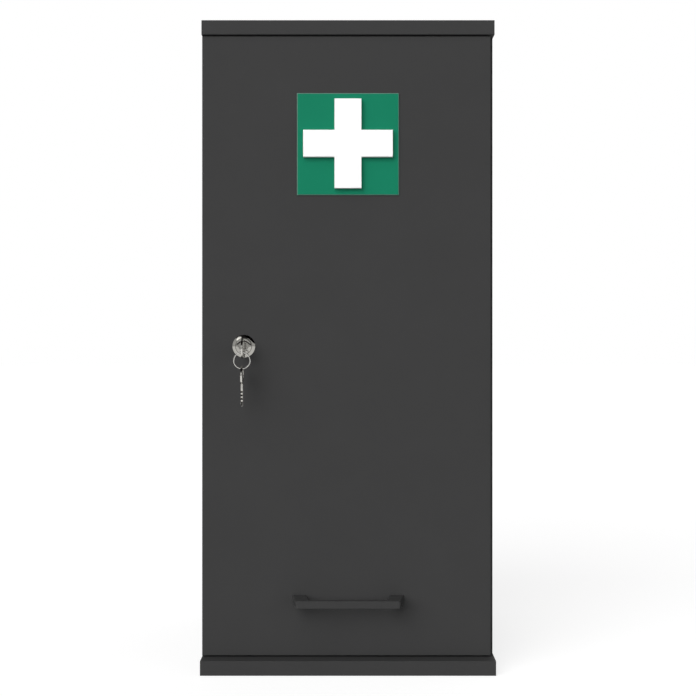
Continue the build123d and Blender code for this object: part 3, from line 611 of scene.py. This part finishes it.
RING_PLAY = 0.2 * MM
hang = 2 * wire_half + RING_PLAY   # from the ring's outline to the edge of the hole that it hangs in
top_hole = (ring_y, ring_high.z - hang + HOLE_R)
low_hole = (ring_y, ring_low.z + hang - HOLE_R)
lock_bow_r = (key_high.z - key_low.z) / 2
lock_bow = (key_low.y + lock_bow_r, (key_high.z + key_low.z) / 2)
spare_bow_r = (spare_high.y - spare_low.y) / 2
spare_bow = ((spare_low.y + spare_high.y) / 2, spare_high.z - spare_bow_r)
piece("lock_key", key_mesh("lock_key", lock_x, lock_bow, lock_bow_r, top_hole, (1, 0), lock_z - lock_bow[1],
                           key_high.y - lock_bow[0]), "key", "key")
piece("hanging_key", key_mesh("hanging_key", lock_x, spare_bow, spare_bow_r, low_hole, (0, -1), 0.0,
                              spare_bow[1] - spare_low.z), "spare_key", "spare_key")

# ---- Floor, background and light ----

FLOOR_HALF = 12.0
FLOOR_DROP = 0.05 * MM    # keeps the floor's face clear of the base
FLOOR_GREY = 0.36
FLOOR_GLOW = 0.75
floor_mesh = bpy.data.meshes.new("floor")
floor_mesh.from_pydata(
    [(-FLOOR_HALF, -FLOOR_HALF, 0), (FLOOR_HALF, -FLOOR_HALF, 0), (FLOOR_HALF, FLOOR_HALF, 0),
     (-FLOOR_HALF, FLOOR_HALF, 0)], [], [(0, 1, 2, 3)])
floor = bpy.data.objects.new("floor", floor_mesh)
floor.location.z = cad_low.z - FLOOR_DROP
bpy.context.scene.collection.objects.link(floor)


def floor_material():
    """Pale floor that glows for the camera and in reflections, so that it is white but keeps the shadow."""
    m = Nodes("studio_floor")
    m.set(Base_Color=(FLOOR_GREY, FLOOR_GREY, FLOOR_GREY, 1), Roughness=0.9, Specular_IOR_Level=0.1)
    path = m.node("ShaderNodeLightPath")
    looked_at = m.math(path.outputs["Is Camera Ray"], "MAXIMUM", path.outputs["Is Glossy Ray"])
    looked_at = m.math(looked_at, "MAXIMUM", path.outputs["Is Transmission Ray"])
    glow = m.node("ShaderNodeEmission")
    glow.inputs["Color"].default_value = (1, 1, 1, 1)
    m.link(m.math(looked_at, "MULTIPLY", FLOOR_GLOW), glow.inputs["Strength"])
    add = m.node("ShaderNodeAddShader")
    m.link(m.shader.outputs[0], add.inputs[0])
    m.link(glow.outputs[0], add.inputs[1])
    m.link(add.outputs[0], m.tree.nodes["Material Output"].inputs["Surface"])
    return m.material


floor_mesh.materials.append(floor_material())


class Sky:
    """Node tree of the world, written as sums over the looked-at direction."""

    def __init__(self, name):
        self.world = bpy.data.worlds.new(name)
        self.world.use_nodes = True
        self.tree = self.world.node_tree
        self.direction = self.tree.nodes.new("ShaderNodeTexCoord").outputs["Generated"]
        self.rays = self.tree.nodes.new("ShaderNodeLightPath").outputs

    def math(self, operation, first, second):
        made = self.tree.nodes.new("ShaderNodeMath")
        made.operation = operation
        for value, socket in zip((first, second), made.inputs):
            if isinstance(value, (int, float)):
                socket.default_value = value
            else:
                self.tree.links.new(value, socket)
        return made.outputs[0]

    def along(self, x, y, z):
        """Cosine between the looked-at direction and this one."""
        made = self.tree.nodes.new("ShaderNodeVectorMath")
        made.operation = "DOT_PRODUCT"
        self.tree.links.new(self.direction, made.inputs[0])
        made.inputs[1].default_value = Vector((x, y, z)).normalized()
        return made.outputs["Value"]

    def fade(self, value, start, end, low, high):
        """Smooth step: low where value is below start, high where it is above end."""
        made = self.tree.nodes.new("ShaderNodeMapRange")
        made.interpolation_type = "SMOOTHSTEP"
        for socket, number in zip(made.inputs[1:5], (start, end, low, high)):
            socket.default_value = number
        self.tree.links.new(value, made.inputs[0])
        return made.outputs[0]

    def choose(self, factor, no, yes):
        """no where factor is 0 and yes where it is 1; each is a number or a socket."""
        made = self.tree.nodes.new("ShaderNodeMix")
        made.data_type = "FLOAT"
        for value, socket in ((factor, made.inputs["Factor"]), (no, made.inputs[2]), (yes, made.inputs[3])):
            if isinstance(value, (int, float)):
                socket.default_value = value
            else:
                self.tree.links.new(value, socket)
        return made.outputs[0]


# Fill light on matt surfaces: a plain level, a little more from the front, and more from the back and right
FILL_PLAIN = 0.17
FILL_FRONT = 0.12
FILL_REAR = 0.55
# What polished metal mirrors
MIRROR_LOW = 0.56         # the studio in front, below the eye level
MIRROR_LINE = 0.01        # a dark edge along its far wall
MIRROR_WALL = 0.62
MIRROR_HIGH = 0.02        # its dark ceiling
MIRROR_BEHIND = 0.95
SOFTBOX = 1.6
# Directions from the cabinet: the brighter rear side, the mirrored dark side and the softbox
REAR_SIDE = (0.6, 0.8, 0)
DARK_SIDE = (0.59, 0, 0.81)
SOFTBOX_SIDE = (-0.46, -0.67, 0.57)


def studio():
    """White behind the cabinet, soft fill on matt surfaces, and a plain painted studio for polished metal."""
    sky = Sky("studio")
    ahead = sky.math("MAXIMUM", sky.along(0, -1, 0), 0.0)
    rear = sky.math("MAXIMUM", sky.along(*REAR_SIDE), 0.0)
    fill = sky.math("ADD", sky.math("MULTIPLY", ahead, FILL_FRONT), sky.math("MULTIPLY", rear, FILL_REAR))
    fill = sky.math("ADD", fill, FILL_PLAIN)
    height = sky.along(0, 0, 1)
    front = sky.choose(sky.fade(height, 0.54, 0.62, 0.0, 1.0), MIRROR_WALL, MIRROR_HIGH)
    above_line = sky.fade(height, 0.14, 0.155, 0.0, 1.0)
    below_line = sky.fade(height, 0.035, 0.05, 1.0, 0.0)
    off_centre = sky.fade(sky.along(0, -1, 0), 0.84, 0.88, 1.0, 0.0)
    no_line = sky.math("MAXIMUM", sky.math("MAXIMUM", above_line, below_line), off_centre)
    front = sky.choose(below_line, front, MIRROR_LOW)
    front = sky.choose(no_line, MIRROR_LINE, front)
    mirrored = sky.choose(sky.fade(sky.along(0, 1, 0), -0.1, 0.35, 0.0, 1.0), front, MIRROR_BEHIND)
    mirrored = sky.math("MULTIPLY", mirrored, sky.fade(sky.along(*DARK_SIDE), 0.6, 0.64, 1.0, 0.0))
    softbox = sky.fade(sky.along(*SOFTBOX_SIDE), 0.972, 0.985, 0.0, SOFTBOX)
    mirrored = sky.math("ADD", mirrored, softbox)
    level = sky.choose(sky.rays["Is Glossy Ray"], fill, mirrored)
    seen = sky.math("MAXIMUM", sky.rays["Is Camera Ray"], sky.rays["Is Transmission Ray"])
    level = sky.choose(seen, level, 1.0)
    background = sky.tree.nodes["Background"]
    background.inputs["Color"].default_value = (1, 1, 1, 1)
    sky.tree.links.new(level, background.inputs["Strength"])
    return sky.world


bpy.context.scene.world = studio()


def sun(name, azimuth, elevation, strength, spread):
    """Sun in degrees: azimuth from straight in front of the door towards +X, elevation above the floor.

    Polished metal mirrors the studio's own softbox instead.
    """
    data = bpy.data.lights.new(name, "SUN")
    data.energy = strength
    data.angle = radians(spread)
    thing = bpy.data.objects.new(name, data)
    level = cos(radians(elevation))
    towards = Vector((sin(radians(azimuth)) * level, -cos(radians(azimuth)) * level, sin(radians(elevation))))
    thing.rotation_euler = towards.to_track_quat("Z", "Y").to_euler()
    thing.location = towards * 3
    thing.visible_glossy = False
    bpy.context.scene.collection.objects.link(thing)


# A tall window on the left, as two soft suns one above the other, and a faint light on the right
WINDOW_SPREAD = 60.0
sun("window_low", -30, 10, 0.518 * pi, WINDOW_SPREAD)
sun("window_high", -34, 36, 0.575 * pi, WINDOW_SPREAD)
sun("right_light", 55, 8, 0.16 * pi, 40.0)

bpy.context.scene.view_settings.view_transform = "Standard"
